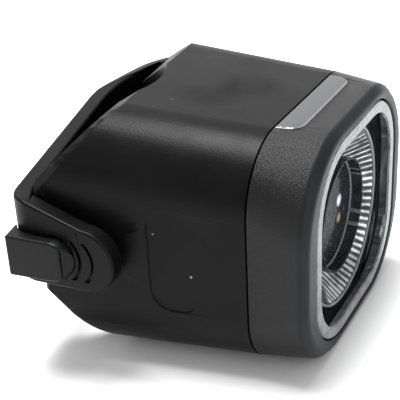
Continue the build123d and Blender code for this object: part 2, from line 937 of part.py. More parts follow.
def make_anchor_pin(grow=0.0):
    """Steel pin across the far horn, through the strap's root."""
    depth = strap_pocket_clearance + strap_thickness / 2
    half = strap_root_half + strap_pocket_clearance + pin_wall
    place = top_frame(pin_run) * Pos(0, 0, -depth)
    return Pos(place.position) * Cylinder(pin_radius + grow, 2 * half)


def hook_post(grow, foot):
    """Round neck of the hook, from the head to its foot in the near horn."""
    y_head = low_y(near_horn_run) - strap_clearance - strap_thickness - hook_clearance
    y_foot = low_y(hook_run) + foot
    length = y_foot - y_head
    place = Pos(parting_x - hook_run, y_head + length / 2, 0) * Rot(90, 0, 0)
    return place * Cylinder(hook_neck_radius + grow, length)


def make_strap_hook():
    """Hook: head that narrows to a round nose over the neck, lip at its rear and the neck."""
    y_inner = low_y(near_horn_run) - strap_clearance - strap_thickness - hook_clearance
    y_outer = y_inner - hook_head_thickness
    x_rear = parting_x - hook_rear_run
    x_neck = parting_x - hook_run
    x_face = x_rear + hook_face_length
    nose_radius = hook_neck_radius + hook_nose_overhang
    x_nose = x_neck + nose_radius
    lip_x = x_rear - hook_lip_lean
    plan = [
        (lip_x, -hook_rear_half),
        (lip_x, hook_rear_half),
        (x_neck, nose_radius),
        (x_neck, -nose_radius),
    ]
    outline = prism_y(plan) + Pos(x_neck, 0, 0) * Rot(90, 0, 0) * Cylinder(nose_radius, 2 * big)
    lip_y = y_inner + hook_lip_reach
    profile = make_face(Polyline([
        (x_rear, y_outer),
        (x_face, y_outer + hook_face_drop),
        (x_nose, y_inner),
        (x_nose, lip_y),
        (lip_x, lip_y),
    ], close=True))
    head = extrude(profile, amount=hook_rear_half, both=True) & outline
    head -= strap_band(strap_thickness + 2 * hook_clearance, 2 * hook_rear_half)
    head -= block(strap_corner_x, big, strap_tab_y, big, -big, big)
    return head + hook_post(0, hook_foot_depth)


nodes = {
    "rear_housing": make_rear_housing(),
    "front_bezel": make_front_bezel(),
    "housing_seal": make_housing_seal(),
    "front_lens": make_front_lens(),
    "lens_gasket": make_lens_gasket(),
    "reflector": make_reflector(),
    "collimator": make_collimator(),
    "led_emitter": make_led_emitter(),
    "led_board": optic_disc(led_board_rear_x, led_board_front_x, led_board_radius),
    "heat_sink": make_heat_sink(),
    "carrier_screws": make_carrier_screws(),
    "side_window_upper": make_side_window(1),
    "side_window_lower": make_side_window(-1),
    "side_leds": make_side_leds(),
    "battery_cell": make_battery_cell(),
    "battery_pad": make_battery_pad(),
    "battery_cradle": make_battery_cradle(),
    "battery_leads": make_battery_leads(),
    "main_board": make_main_board(),
    "tact_switch": make_tact_switch(),
    "switch_plunger": make_switch_plunger(),
    "power_button": make_power_button(),
    "charge_indicator": make_charge_indicator(),
    "usb_socket": make_usb_socket(),
    "port_cover": make_port_cover(),
    "port_cover_anchor": make_port_cover_anchor(),
    "strap": make_strap(),
    "strap_anchor_pin": make_anchor_pin(),
    "strap_hook": make_strap_hook(),
}

os.makedirs("parts", exist_ok=True)
for name, solid in nodes.items():
    export_step(solid, f"parts/{name}.step")
    print(name, round(solid.volume, 1), "mm3,", len(solid.solids()), "solid(s)")
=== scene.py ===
# %% [markdown]
# # A pocket headlight for a bicycle
# The light is a squarish moulded box with a clear lens in front, a curved seat for the
# handlebar behind, and a rubber strap that loops round the bar to a hook.
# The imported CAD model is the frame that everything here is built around. All lengths are metres,
# +X points to the lens, +Z runs along the handlebar, and the light lies on its lower side.

# %% Load the frame
import json
import math

import bmesh
import bpy
from mathutils import Matrix, Vector


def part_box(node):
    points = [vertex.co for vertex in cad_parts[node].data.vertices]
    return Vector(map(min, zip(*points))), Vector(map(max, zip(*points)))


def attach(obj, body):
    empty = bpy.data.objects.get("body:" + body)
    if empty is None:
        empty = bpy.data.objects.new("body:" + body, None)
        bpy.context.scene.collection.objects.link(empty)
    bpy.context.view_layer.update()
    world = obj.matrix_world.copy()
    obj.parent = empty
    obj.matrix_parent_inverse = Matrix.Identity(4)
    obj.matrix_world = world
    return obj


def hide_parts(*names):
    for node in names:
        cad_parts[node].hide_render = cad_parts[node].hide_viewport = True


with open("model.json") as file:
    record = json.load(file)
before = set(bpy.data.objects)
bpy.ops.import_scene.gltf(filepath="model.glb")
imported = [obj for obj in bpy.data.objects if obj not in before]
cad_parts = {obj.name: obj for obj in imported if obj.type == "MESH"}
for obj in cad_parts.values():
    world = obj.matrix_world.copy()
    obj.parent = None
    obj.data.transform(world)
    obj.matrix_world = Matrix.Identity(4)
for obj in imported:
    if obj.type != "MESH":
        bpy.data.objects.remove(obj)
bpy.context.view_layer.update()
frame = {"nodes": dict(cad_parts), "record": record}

nodes = frame["nodes"]

# %% [markdown]
# ## The view
# A photograph is matched first, because every later choice is judged in that view. The camera
# looks down on the light's front and near side, and its lens is a long one, so the box hardly
# tapers. The view could be given as a matrix of nine numbers, but three angles are easier to read.

# %% Camera
view_azimuth = math.radians(28.15)
view_elevation = math.radians(27.12)
view_roll = math.radians(-3.12)
camera_place = Vector((0.09337, -0.13149, 0.07694))
focal_length = 91.1
sensor_width = 36.0
nearest_seen = 0.005

back = Vector((
    math.sin(view_azimuth) * math.cos(view_elevation),
    -math.cos(view_azimuth) * math.cos(view_elevation),
    math.sin(view_elevation),
))
level = Vector((math.cos(view_azimuth), math.sin(view_azimuth), 0.0))
upward = back.cross(level)
right = level * math.cos(view_roll) + upward * math.sin(view_roll)
up = back.cross(right)

camera_data = bpy.data.cameras.new("view_camera")
camera_data.lens = focal_length
camera_data.sensor_width = sensor_width
camera_data.clip_start = nearest_seen
camera = bpy.data.objects.new("view_camera", camera_data)
bpy.context.scene.collection.objects.link(camera)
turn = Matrix((right, up, back)).transposed().to_4x4()
camera.matrix_world = Matrix.Translation(camera_place) @ turn
bpy.context.scene.camera = camera
bpy.context.scene.view_settings.view_transform = "Standard"
print("camera at", tuple(round(v, 4) for v in camera_place))

# %% [markdown]
# ## Hands on a mesh
# Edges and faces are picked in code by where they lie, as one would click them in a window.
# An operator acts on all that is selected, so a piece is always opened with nothing selected.


# %% Open, pick and close
def select_only(piece):
    """Makes a piece the one selected and active object."""
    bpy.ops.object.select_all(action="DESELECT")
    piece.select_set(True)
    bpy.context.view_layer.objects.active = piece


def edit(piece, mode="EDGE"):
    """Opens a piece for editing with nothing selected."""
    select_only(piece)
    bpy.ops.object.mode_set(mode="EDIT")
    bpy.ops.mesh.select_mode(type=mode)
    bpy.ops.mesh.select_all(action="DESELECT")


def pick(piece, wanted, kind="edges"):
    """Selects the edges or faces of an open piece that pass a test, and counts them."""
    shape = bmesh.from_edit_mesh(piece.data)
    count = 0
    for part in shape.faces if kind == "faces" else shape.edges:
        if wanted(part):
            part.select_set(True)
            count += 1
    bmesh.update_edit_mesh(piece.data)
    return count


def close_edit():
    """Goes back from editing to the object."""
    bpy.ops.object.mode_set(mode="OBJECT")


print("editing helpers ready")

# %% [markdown]
# ## Copies of CAD meshes
# A CAD mesh comes as loose triangles. A copy that is to be shaped further is first welded, and
# its flat areas are joined into whole faces, because bevels run cleanly only along true edges.
# A face with many corners can shade badly after a bevel, so most copies have such faces split
# into triangles again. The strap and the hook shade well without that.

# %% Copy a CAD node
weld_gap = 1e-6
flat_angle = math.radians(0.4)


def copy_node(node, name, weld=weld_gap, split=True):
    """Takes a welded copy of a CAD node's mesh as a new piece."""
    piece = bpy.data.objects.new(name, nodes[node].data.copy())
    bpy.context.scene.collection.objects.link(piece)
    piece.data.materials.clear()
    edit(piece, "VERT")
    bpy.ops.mesh.select_all(action="SELECT")
    bpy.ops.mesh.remove_doubles(threshold=weld)
    bpy.ops.mesh.dissolve_limited(angle_limit=flat_angle)
    if split:
        bpy.ops.mesh.select_all(action="DESELECT")
        bpy.ops.mesh.select_mode(type="FACE")
        pick(piece, lambda face: len(face.verts) > 4, "faces")
        bpy.ops.mesh.quads_convert_to_tris(ngon_method="BEAUTY")
    close_edit()
    print(name, "from", node, len(piece.data.polygons), "faces")
    return piece


# %% [markdown]
# ## Rounded edges
# A mould can't make a razor edge. A small bevel on the crisp edges makes the thin highlights by
# which one reads a moulded piece, and weighted normals keep the large faces beside it flat.


# %% Round and smooth
def crisp(edge, least=25.0):
    """Says whether an edge is convex and sharper than an angle in degrees."""
    if len(edge.link_faces) != 2:
        return False
    return edge.is_convex and math.degrees(edge.calc_face_angle(0.0)) > least


def middle_of(edge):
    """Middle of an edge."""
    return (edge.verts[0].co + edge.verts[1].co) / 2


def round_edges(piece, wanted, width, segments=3, clamp=True):
    """Bevels the picked edges of a piece to a rounding."""
    edit(piece)
    count = pick(piece, wanted)
    if count:
        bpy.ops.mesh.bevel(
            offset=width, offset_type="OFFSET", segments=segments, profile=0.5,
            affect="EDGES", clamp_overlap=clamp,
        )
    close_edit()
    print(piece.name, "rounded", count, "edges by", round(width * 1000, 2), "mm")


def smooth(piece, angle=30.0):
    """Shades a piece smooth, keeps its crisp edges and lets large faces stay flat."""
    select_only(piece)
    bpy.ops.object.shade_smooth_by_angle(angle=math.radians(angle))
    modifier = piece.modifiers.new("weighted_normal", "WEIGHTED_NORMAL")
    modifier.keep_sharp = True
    bpy.ops.object.modifier_apply(modifier=modifier.name)


print("rounding helpers ready")

# %% [markdown]
# ## What a piece stands for
# A piece made from a CAD node takes that node's place. It rides on the node's body, so the button sinks
# and the flap swings with it. A piece that is only added, such as a trim ring, rides along and leaves the
# node as it is.

# %% Bodies
body_of_node = {
    node: body
    for body, members in frame["record"]["behaviour"]["bodies"].items()
    for node in members
}


def settle(piece, node):
    """Lets a piece stand for a node and ride on its body."""
    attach(piece, body_of_node[node])
    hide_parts(node)


def join_in(piece, node):
    """Lets an added piece ride with a node."""
    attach(piece, body_of_node[node])


# %% [markdown]
# ## Materials
# Each finish is a small graph of nodes. Noise in object coordinates gives grain at a true scale,
# so a pattern stays the same size on every piece. The grain of moulded plastic is under a tenth
# of a millimetre deep, and is made with bump, while roughness varies with a broader noise.


# %% Start, noise and colour
def new_finish(name):
    """Starts a material and returns it with its node tree, shader and object coordinates."""
    material = bpy.data.materials.new(name)
    material.use_nodes = True
    tree = material.node_tree
    shader = tree.nodes["Principled BSDF"]
    coordinates = tree.nodes.new("ShaderNodeTexCoord").outputs["Object"]
    return material, tree, shader, coordinates


def noise(tree, coordinates, scale, detail=3.0, roughness=0.55):
    """Noise texture in object coordinates; scale is in cycles per metre."""
    node = tree.nodes.new("ShaderNodeTexNoise")
    node.inputs["Scale"].default_value = scale
    node.inputs["Detail"].default_value = detail
    node.inputs["Roughness"].default_value = roughness
    tree.links.new(coordinates, node.inputs["Vector"])
    return node.outputs["Fac"]


def ramp(tree, source, stops):
    """Colour ramp from a value; stops are (place, (r, g, b)) pairs."""
    node = tree.nodes.new("ShaderNodeValToRGB")
    while len(node.color_ramp.elements) < len(stops):
        node.color_ramp.elements.new(0.5)
    for element, (place, colour) in zip(node.color_ramp.elements, stops):
        element.position = place
        element.color = (*colour, 1.0)
    tree.links.new(source, node.inputs["Fac"])
    return node.outputs["Color"]


print("material helpers ready")

# %% [markdown]
# Noise could go straight into the roughness, but it keeps near its middle and would hardly show.
# So the range in which it mostly lies is stretched to the range of roughness that is wanted.

# %% Roughness and bump
noise_low = 0.3
noise_high = 0.7


def spread(tree, source, low, high):
    """Maps the range in which noise mostly lies to a range of roughness."""
    node = tree.nodes.new("ShaderNodeMapRange")
    node.inputs["From Min"].default_value = noise_low
    node.inputs["From Max"].default_value = noise_high
    node.inputs["To Min"].default_value = low
    node.inputs["To Max"].default_value = high
    tree.links.new(source, node.inputs["Value"])
    return node.outputs["Result"]


def bump(tree, height, strength, distance):
    """Bump from a height; distance is in metres."""
    node = tree.nodes.new("ShaderNodeBump")
    node.inputs["Strength"].default_value = strength
    node.inputs["Distance"].default_value = distance
    tree.links.new(height, node.inputs["Height"])
    return node.outputs["Normal"]


print("noise lies mostly between", noise_low, "and", noise_high)

# %% [markdown]
# ## Masks
# A mask is a value that is one where something shows and nought elsewhere. Masks could be painted,
# but a few arithmetic nodes give them sharp at any distance: specks from the cells of a Voronoi
# texture, spots from the distance to a place, and ribs from the angle round the optical axis.

# %% Arithmetic on masks
def combine(tree, operation, *values):
    """One arithmetic step on one or two values, each a number or the output of a node."""
    node = tree.nodes.new("ShaderNodeMath")
    node.operation = operation
    for socket, value in zip(node.inputs, values):
        if isinstance(value, float):
            socket.default_value = value
        else:
            tree.links.new(value, socket)
    return node.outputs[0]


def blend_colour(tree, mask, under, over):
    """Lays a plain colour over another where a mask is one."""
    mix = tree.nodes.new("ShaderNodeMix")
    mix.data_type = "RGBA"
    mix.inputs["B"].default_value = (*over, 1.0)
    tree.links.new(mask, mix.inputs["Factor"])
    tree.links.new(under, mix.inputs["A"])
    return mix.outputs["Result"]


print("arithmetic ready")

# %% [markdown]
# Dust lies in a few cells of a Voronoi texture. The colour of a cell is random, so one channel
# picks the cells that hold a speck and another sets its size. A spot is soft, as a reflection is.

# %% Specks and spots
spot_core = 0.5


def dust(tree, coordinates, scale, size, share):
    """Mask of small scattered specks: a few of the cells hold one, and no two are the same size."""
    cells = tree.nodes.new("ShaderNodeTexVoronoi")
    cells.inputs["Scale"].default_value = scale
    tree.links.new(coordinates, cells.inputs["Vector"])
    split = tree.nodes.new("ShaderNodeSeparateColor")
    tree.links.new(cells.outputs["Color"], split.inputs["Color"])
    reach = combine(tree, "MULTIPLY", split.outputs["Green"], size)
    near = combine(tree, "LESS_THAN", cells.outputs["Distance"], reach)
    chosen = combine(tree, "LESS_THAN", split.outputs["Red"], share)
    return combine(tree, "MULTIPLY", near, chosen)


def spot(tree, coordinates, place, reach):
    """Mask that is one at a place and fades out towards its reach."""
    node = tree.nodes.new("ShaderNodeVectorMath")
    node.operation = "DISTANCE"
    node.inputs[1].default_value = place
    tree.links.new(coordinates, node.inputs[0])
    fade = tree.nodes.new("ShaderNodeMapRange")
    fade.inputs["From Min"].default_value = reach
    fade.inputs["From Max"].default_value = reach * spot_core
    tree.links.new(node.outputs["Value"], fade.inputs["Value"])
    return fade.outputs["Result"]


print("spots fade over their outer", 1 - spot_core, "of the reach")

# %% [markdown]
# The front of the light is built round one optical axis, which runs along X through the middle
# of the reflector. Ribs and lines are measured from it: a sine turns a steady value into stripes.

# %% Places round the optical axis
optic_y = (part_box("reflector")[0].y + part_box("reflector")[1].y) / 2


def from_axis(tree, coordinates):
    """Gives the Y and Z of a point, measured from the optical axis."""
    split = tree.nodes.new("ShaderNodeSeparateXYZ")
    tree.links.new(coordinates, split.inputs["Vector"])
    return combine(tree, "SUBTRACT", split.outputs["Y"], optic_y), split.outputs["Z"]


def stripes(tree, value, scale):
    """Sine of a scaled value, between -1 and 1."""
    return combine(tree, "SINE", combine(tree, "MULTIPLY", value, scale))


print("optical axis at y =", round(optic_y * 1000, 2), "mm")

# %% [markdown]
# ## Plastic and rubber
# Every dark piece is moulded, and the pieces differ in tone, gloss and grain. The bezel has a
# fine spark-eroded grain, the band in front of it is smooth, and the strap is satin rubber. Each
# could be a graph of its own, but one function with a few measures keeps them related, as they
# are on the real light. The housing also has pale specks of dust and two dull smudges.

# %% Moulded plastic
tone_scale = 130.0
tone_stops = (0.35, 0.65)
grain_strength = 0.5
dust_scale = 330.0
dust_size = 0.085
dust_colour = (0.22, 0.22, 0.21)
smudge_strength = 0.6


def moulded_plastic(
    name, dark, light, rough, grain=3800.0, depth=0.00005, gloss=0.35, specks=0.0, smudges=(),
):
    """Grained moulded plastic, with pale dust specks and dull smudges where asked."""
    material, tree, shader, coordinates = new_finish(name)
    broad = noise(tree, coordinates, tone_scale, 4.0)
    fine = noise(tree, coordinates, grain, 2.0)
    colour = ramp(tree, broad, list(zip(tone_stops, (dark, light))))
    if specks > 0:
        mask = dust(tree, coordinates, dust_scale, dust_size, specks)
        colour = blend_colour(tree, mask, colour, dust_colour)
    tree.links.new(colour, shader.inputs["Base Color"])
    tree.links.new(spread(tree, broad, *rough), shader.inputs["Roughness"])
    tree.links.new(bump(tree, fine, grain_strength, depth), shader.inputs["Normal"])
    shader.inputs["Specular IOR Level"].default_value = gloss
    level = gloss
    for place, reach in smudges:
        worn = combine(tree, "MULTIPLY", spot(tree, coordinates, place, reach), broad)
        worn = combine(tree, "MULTIPLY", worn, smudge_strength)
        level = combine(tree, "ADD", level, combine(tree, "MULTIPLY", worn, -gloss))
    if smudges:
        tree.links.new(level, shader.inputs["Specular IOR Level"])
    return material


print("plastic tones change over about", round(1000 / tone_scale, 1), "mm")

# %% [markdown]
# Each plastic has a dark and a light tone, a range of roughness, the scale of its grain in cycles
# per metre, the depth of the grain in metres, and its gloss. The tones could be one flat black,
# but small steps between the pieces are what tells a bezel from a strap in soft light.

# %% Plastics and rubbers of the outside
top_smudges = [((0.030, 0.006, 0.0196), 0.0065), ((0.026, -0.001, 0.0198), 0.0060)]
housing_plastic = moulded_plastic(
    "housing_plastic", (0.0022, 0.0023, 0.0023), (0.0038, 0.0039, 0.0038), rough=(0.32, 0.42),
    grain=3000.0, depth=0.00004, gloss=0.10, specks=0.25, smudges=top_smudges,
)
bezel_plastic = moulded_plastic(
    "bezel_plastic", (0.003, 0.0031, 0.003), (0.005, 0.0051, 0.0047), rough=(0.30, 0.36),
    grain=7500.0, depth=0.00020, gloss=0.24,
)
band_plastic = moulded_plastic(
    "band_plastic", (0.005, 0.006, 0.007), (0.007, 0.0085, 0.010), rough=(0.34, 0.42),
    grain=2600.0, depth=0.00002, gloss=0.18,
)
hook_plastic = moulded_plastic(
    "hook_plastic", (0.0025, 0.0027, 0.0032), (0.0045, 0.0047, 0.0054), rough=(0.36, 0.48),
    grain=3400.0, depth=0.00006, gloss=0.16,
)
strap_rubber = moulded_plastic(
    "strap_rubber", (0.0020, 0.0021, 0.0022), (0.0036, 0.0037, 0.0037), rough=(0.34, 0.46),
    grain=1800.0, depth=0.00003, gloss=0.10,
)
soft_rubber = moulded_plastic(
    "soft_rubber", (0.006, 0.0061, 0.0063), (0.010, 0.0102, 0.0104), rough=(0.5, 0.62),
    grain=2600.0, gloss=0.35,
)
seal_black = moulded_plastic(
    "seal_black", (0.002, 0.002, 0.002), (0.004, 0.004, 0.004), rough=(0.6, 0.7),
    grain=1500.0, gloss=0.2,
)
print("plastics ready")

# %% [markdown]
# ## Clear plastic
# Glass could be made with transmission, but light then has to bend through the lens to reach the
# bowl, and the bowl turns dark and noisy. These clear parts have a low alpha instead, so light
# passes straight in. Frosted and milky pieces are nearly opaque, with a pale waviness.

# %% Clear, frosted and milky plastic
line_waviness = 1.5
line_share = 0.35
line_level = 0.8
clear_gain = 1.5
clear_strength = 0.08
clear_depth = 0.00005


def paler(colour, gain):
    """Colour made lighter by a factor."""
    return tuple(min(1.0, part * gain) for part in colour)


def clear_plastic(name, colour, alpha, roughness, grain=900.0, bands=0.0):
    """Clear or milky plastic with a faint waviness, and fine lines where asked."""
    material, tree, shader, coordinates = new_finish(name)
    wave = noise(tree, coordinates, grain, 3.0)
    if bands > 0:
        lines = tree.nodes.new("ShaderNodeTexWave")
        lines.bands_direction = "X"
        lines.inputs["Scale"].default_value = bands
        lines.inputs["Distortion"].default_value = line_waviness
        tree.links.new(coordinates, lines.inputs["Vector"])
        wave = combine(tree, "ADD", combine(tree, "MULTIPLY", lines.outputs["Fac"], line_share), wave)
        wave = combine(tree, "MULTIPLY", wave, line_level)
    tint = ramp(tree, wave, [(0.3, colour), (0.75, paler(colour, clear_gain))])
    tree.links.new(tint, shader.inputs["Base Color"])
    tree.links.new(spread(tree, wave, roughness, roughness * clear_gain), shader.inputs["Roughness"])
    tree.links.new(bump(tree, wave, clear_strength, clear_depth), shader.inputs["Normal"])
    shader.inputs["Alpha"].default_value = alpha
    return material


window_frosted = clear_plastic("window_frosted", (0.045, 0.049, 0.049), 1.0, 0.3, bands=900.0)
# The bevel's finish is paler than the frosted face: a painted highlight where the polished bevel catches
# the light.
window_rim_painted_highlight = clear_plastic("window_rim_painted_highlight", (0.13, 0.14, 0.14), 1.0, 0.2)
# The ring finish is paler than clear plastic: a painted highlight where the edges of the bead, the pale
# line and the tabs catch the light.
ring_painted_highlight = clear_plastic("ring_painted_highlight", (0.16, 0.18, 0.185), 0.9, 0.12, grain=1800.0)
guide_milky = clear_plastic("guide_milky", (0.45, 0.47, 0.48), 0.9, 0.25)
print("clear plastics ready")

# %% [markdown]
# ## Metal
# Screws, pin, socket and heat sink are bare metal. A grey plastic would look dead beside them, so
# they use the shader's own metal, slightly uneven in tone and roughness.

# %% Bare metal
metal_gain = 1.25
metal_rough_gain = 1.6
metal_strength = 0.15
metal_depth = 0.00006


def satin_metal(name, colour, roughness, grain=700.0):
    """Bare metal, slightly uneven in tone and shine."""
    material, tree, shader, coordinates = new_finish(name)
    wave = noise(tree, coordinates, grain, 3.0)
    tint = ramp(tree, wave, [(0.3, colour), (0.7, paler(colour, metal_gain))])
    tree.links.new(tint, shader.inputs["Base Color"])
    tree.links.new(spread(tree, wave, roughness, roughness * metal_rough_gain), shader.inputs["Roughness"])
    tree.links.new(bump(tree, wave, metal_strength, metal_depth), shader.inputs["Normal"])
    shader.inputs["Metallic"].default_value = 1.0
    return material


bare_metal = satin_metal("bare_metal", (0.45, 0.46, 0.47), 0.28)
print("metal ready")

# %% [markdown]
# ## Finishes of the lens
# The lens is one clear moulding whose raised rim is frosted. Fine lines follow the rim's square
# outline. Grooves that fine would need very many faces, so the lines are in the tone, drawn from
# the larger of two distances to the axis.

# %% Finish of the lens's rim
rim_flatter = 0.0014
rim_line_scale = 9000.0
rim_line_share = 0.12


def lens_rim_finish():
    """Pale frosted rim with fine lines that follow its square outline."""
    material, tree, shader, coordinates = new_finish("lens_rim_pale")
    across, along = from_axis(tree, coordinates)
    half_across = combine(tree, "ABSOLUTE", across)
    half_along = combine(tree, "ADD", combine(tree, "ABSOLUTE", along), rim_flatter)
    outline = combine(tree, "MAXIMUM", half_across, half_along)
    lines = combine(tree, "MULTIPLY", stripes(tree, outline, rim_line_scale), rim_line_share)
    cloud = noise(tree, coordinates, 500.0, 3.0)
    stops = [(0.3, (0.085, 0.096, 0.102)), (0.7, (0.20, 0.22, 0.225))]
    tint = ramp(tree, combine(tree, "ADD", lines, cloud), stops)
    tree.links.new(tint, shader.inputs["Base Color"])
    tree.links.new(spread(tree, cloud, 0.14, 0.24), shader.inputs["Roughness"])
    return material


lens_rim_pale = lens_rim_finish()
print("rim lines lie", round(1000 * math.tau / rim_line_scale, 2), "mm apart")

# %% [markdown]
# The pane is almost nothing but its gloss. Three pale reflections near its edge could come from
# lamps of their own, but those would light the bezel too, so they are spots of a higher alpha.

# %% Finish of the lens's pane
pane_veil = 0.006
reflection_reach = 0.0017
reflection_places = [(0.0477, 0.020, -0.008), (0.0477, 0.0187, -0.0098), (0.0477, 0.0065, -0.0165)]


def lens_finish():
    """Clear pane that is almost see-through, with three pale reflections near its edge."""
    material, tree, shader, coordinates = new_finish("lens_clear")
    cloud = noise(tree, coordinates, 700.0, 3.0)
    tint = ramp(tree, cloud, [(0.3, (0.30, 0.38, 0.42)), (0.7, (0.42, 0.50, 0.55))])
    tree.links.new(tint, shader.inputs["Base Color"])
    tree.links.new(spread(tree, cloud, 0.03, 0.05), shader.inputs["Roughness"])
    veil = pane_veil
    for place in reflection_places:
        shine = combine(tree, "MULTIPLY", spot(tree, coordinates, place, reflection_reach), cloud)
        veil = combine(tree, "ADD", veil, shine)
    tree.links.new(veil, shader.inputs["Alpha"])
    return material


lens_clear = lens_finish()
print("pane with", len(reflection_places), "reflections")

# %% [markdown]
# ## Finishes behind the lens
# The bowl is bright film over fine ribs that run out from the middle. The CAD has the ribs, but at this
# size the lamps alone make too little of them. So the angle round the axis also drives the tone: each rib
# has a painted highlight on one flank and painted shade on the other. The square plate round the bowl is a
# dark mirror.

# %% Bowl and plate finishes
rib_count = 72.0
painted_rib_contrast = 0.32
rib_middle = 0.5
cloud_share = 1.1
bowl_roughness = 0.14


def bowl_finish():
    """Bright bowl whose ribs have a painted highlight on one flank and painted shade on the other."""
    material, tree, shader, coordinates = new_finish("bowl_silver")
    across, along = from_axis(tree, coordinates)
    angle_round = combine(tree, "ARCTAN2", along, across)
    # Painted highlight on one flank of each rib and painted shade on the other.
    flank = combine(tree, "MULTIPLY", stripes(tree, angle_round, rib_count), painted_rib_contrast)
    ribs = combine(tree, "ADD", flank, rib_middle)
    cloud = combine(tree, "SUBTRACT", noise(tree, coordinates, 420.0, 3.0), 0.5)
    mixed = combine(tree, "ADD", ribs, combine(tree, "MULTIPLY", cloud, cloud_share))
    stops = [(0.2, (0.025, 0.028, 0.03)), (0.55, (0.14, 0.15, 0.15)), (0.8, (0.52, 0.55, 0.56))]
    tree.links.new(ramp(tree, mixed, stops), shader.inputs["Base Color"])
    shader.inputs["Roughness"].default_value = bowl_roughness
    shader.inputs["Metallic"].default_value = 1.0
    return material


def flange_finish():
    """Dark mirror plate, slightly cloudy."""
    material, tree, shader, coordinates = new_finish("flange_dark")
    cloud = noise(tree, coordinates, 260.0, 3.0)
    tint = ramp(tree, cloud, [(0.35, (0.012, 0.015, 0.018)), (0.7, (0.05, 0.056, 0.062))])
    tree.links.new(tint, shader.inputs["Base Color"])
    tree.links.new(spread(tree, cloud, 0.10, 0.18), shader.inputs["Roughness"])
    shader.inputs["Metallic"].default_value = 1.0
    return material


bowl_silver = bowl_finish()
flange_dark = flange_finish()
print("bowl has", int(rib_count), "ribs")

# %% [markdown]
# The optic in the middle is clear, but it looks black from the side, because it mirrors the dark inside of
# the light, so its colour is painted near-black: painted shade. One white glint and the yellow of the
# emitter show in it. A real glint would move with the lamps, and these two must stay where they are, so
# both are painted spots of colour: a painted glint and a painted image of the emitter.

# %% Optic finish
glint_place = (0.0444, 0.0078, 0.0008)
glint_reach = 0.0012
glint_white = (0.75, 0.8, 0.85)
painted_emitter_place = (0.0444, 0.0078, -0.0024)
painted_emitter_reach = 0.0010
painted_emitter_yellow = (0.30, 0.27, 0.12)


def optic_finish():
    """Clear optic painted near-black as painted shade, with a painted glint and a painted image of the
    yellow emitter.
    """
    material, tree, shader, coordinates = new_finish("optic_painted_shade")
    cloud = noise(tree, coordinates, 650.0, 3.0)
    # Near-black colour: painted shade for the dark that the clear optic mirrors.
    tint = ramp(tree, cloud, [(0.35, (0.004, 0.005, 0.007)), (0.7, (0.022, 0.026, 0.03))])
    # A painted glint and a painted image of the yellow emitter, at fixed places.
    tint = blend_colour(tree, spot(tree, coordinates, glint_place, glint_reach), tint, glint_white)
    tint = blend_colour(tree, spot(tree, coordinates, painted_emitter_place, painted_emitter_reach), tint, painted_emitter_yellow)
    tree.links.new(tint, shader.inputs["Base Color"])
    tree.links.new(spread(tree, cloud, 0.10, 0.18), shader.inputs["Roughness"])
    shader.inputs["Specular IOR Level"].default_value = 0.02
    return material


optic_painted_shade = optic_finish()
print("optic finish ready")

# %% [markdown]
# ## Finishes inside the light
# Boards, leads and the emitter are hidden behind the shell, but they show when the light is taken
# apart. Each gets the plain colour of its kind, with the grain of the other plastics.

# %% Inner finishes
board_white = moulded_plastic("board_white", (0.42, 0.43, 0.41), (0.5, 0.51, 0.49), rough=(0.4, 0.5))
board_green = moulded_plastic("board_green", (0.01, 0.10, 0.04), (0.015, 0.13, 0.055), rough=(0.35, 0.45))
die_yellow = moulded_plastic("die_yellow", (0.6, 0.5, 0.12), (0.75, 0.66, 0.2), rough=(0.3, 0.4))
lead_red = moulded_plastic("lead_red", (0.35, 0.02, 0.015), (0.42, 0.03, 0.02), rough=(0.4, 0.5))
print("inner finishes ready")

# %% [markdown]
# ## Finishes on the plain pieces
# A piece whose CAD shape is already right keeps it and only gets its finish. A copy would add
# nothing, because these pieces lie inside or under others.

# %% Assign finishes to CAD nodes
node_finishes = {
    "housing_seal": seal_black,
    "lens_gasket": seal_black,
    "led_emitter": die_yellow,
    "led_board": board_white,
    "heat_sink": bare_metal,
    "carrier_screws": bare_metal,
    "side_leds": die_yellow,
    "battery_cell": bare_metal,
    "battery_pad": seal_black,
    "battery_cradle": hook_plastic,
    "battery_leads": lead_red,
    "main_board": board_green,
    "tact_switch": hook_plastic,
    "switch_plunger": hook_plastic,
    "usb_socket": bare_metal,
    "charge_indicator": guide_milky,
    "port_cover_anchor": soft_rubber,
    "strap_anchor_pin": bare_metal,
}
for node, material in node_finishes.items():
    nodes[node].data.materials.clear()
    nodes[node].data.materials.append(material)
print(len(node_finishes), "nodes finished")

# %% [markdown]
# ## The rims of the near horn
# The shell ends in two horns that hold the seat. Where the near horn's slanted faces meet its
# rounded long corners, the real shell has a broad rounding of 2.5 mm. A bevel of that width makes
# folds at such a rim, because the rim bends and the triangles beside it are narrow. A cut by a
# plane always stays clean, so eight planes shave each rim, one for each direction in which the
# rounded corner faces. Each plane lies where a rounding would touch the middle of the turn. The
# values below are the CAD's: where the slanted face begins, the slopes of the near side and of the
# side faces, half the width at the bar's axis, and the radius of the long corners. The place of
# the rim follows from them, and a few tries settle how deep it lies.

# %% Near rims
housing = copy_node("rear_housing", "housing_shell")
near_tip = Vector((0.0051, -0.02095, 0.0100))
near_slope = 0.0885
side_slope = 0.0615
side_half = 0.0214354
corner_round = 0.0108
slant_rise = 0.998
slant_out = Vector((-0.705, -0.067, 0.706)).normalized()
rim_round = 0.0025
rim_angles = [math.radians(a) for a in (4, 16, 28, 40, 52, 64, 76, 88)]
rim_tries = 12


def near_rim(angle):
    """Point, outward direction and turn of the rim where the rounded corner faces an angle."""
    out = Vector((near_slope * math.cos(angle), -math.cos(angle), math.sin(angle))).normalized()
    reach_x = 0.0
    for _ in range(rim_tries):
        x = near_tip.x + reach_x
        middle_y = near_tip.y + near_slope * reach_x + corner_round
        middle_z = side_half - side_slope * x - corner_round
        z = middle_z + corner_round * math.sin(angle)
        reach_x = max(0.0, (z - near_tip.z) / slant_rise)
    y = middle_y - corner_round * math.cos(angle)
    return Vector((x, y, z)), (out + slant_out).normalized(), out.angle(slant_out)


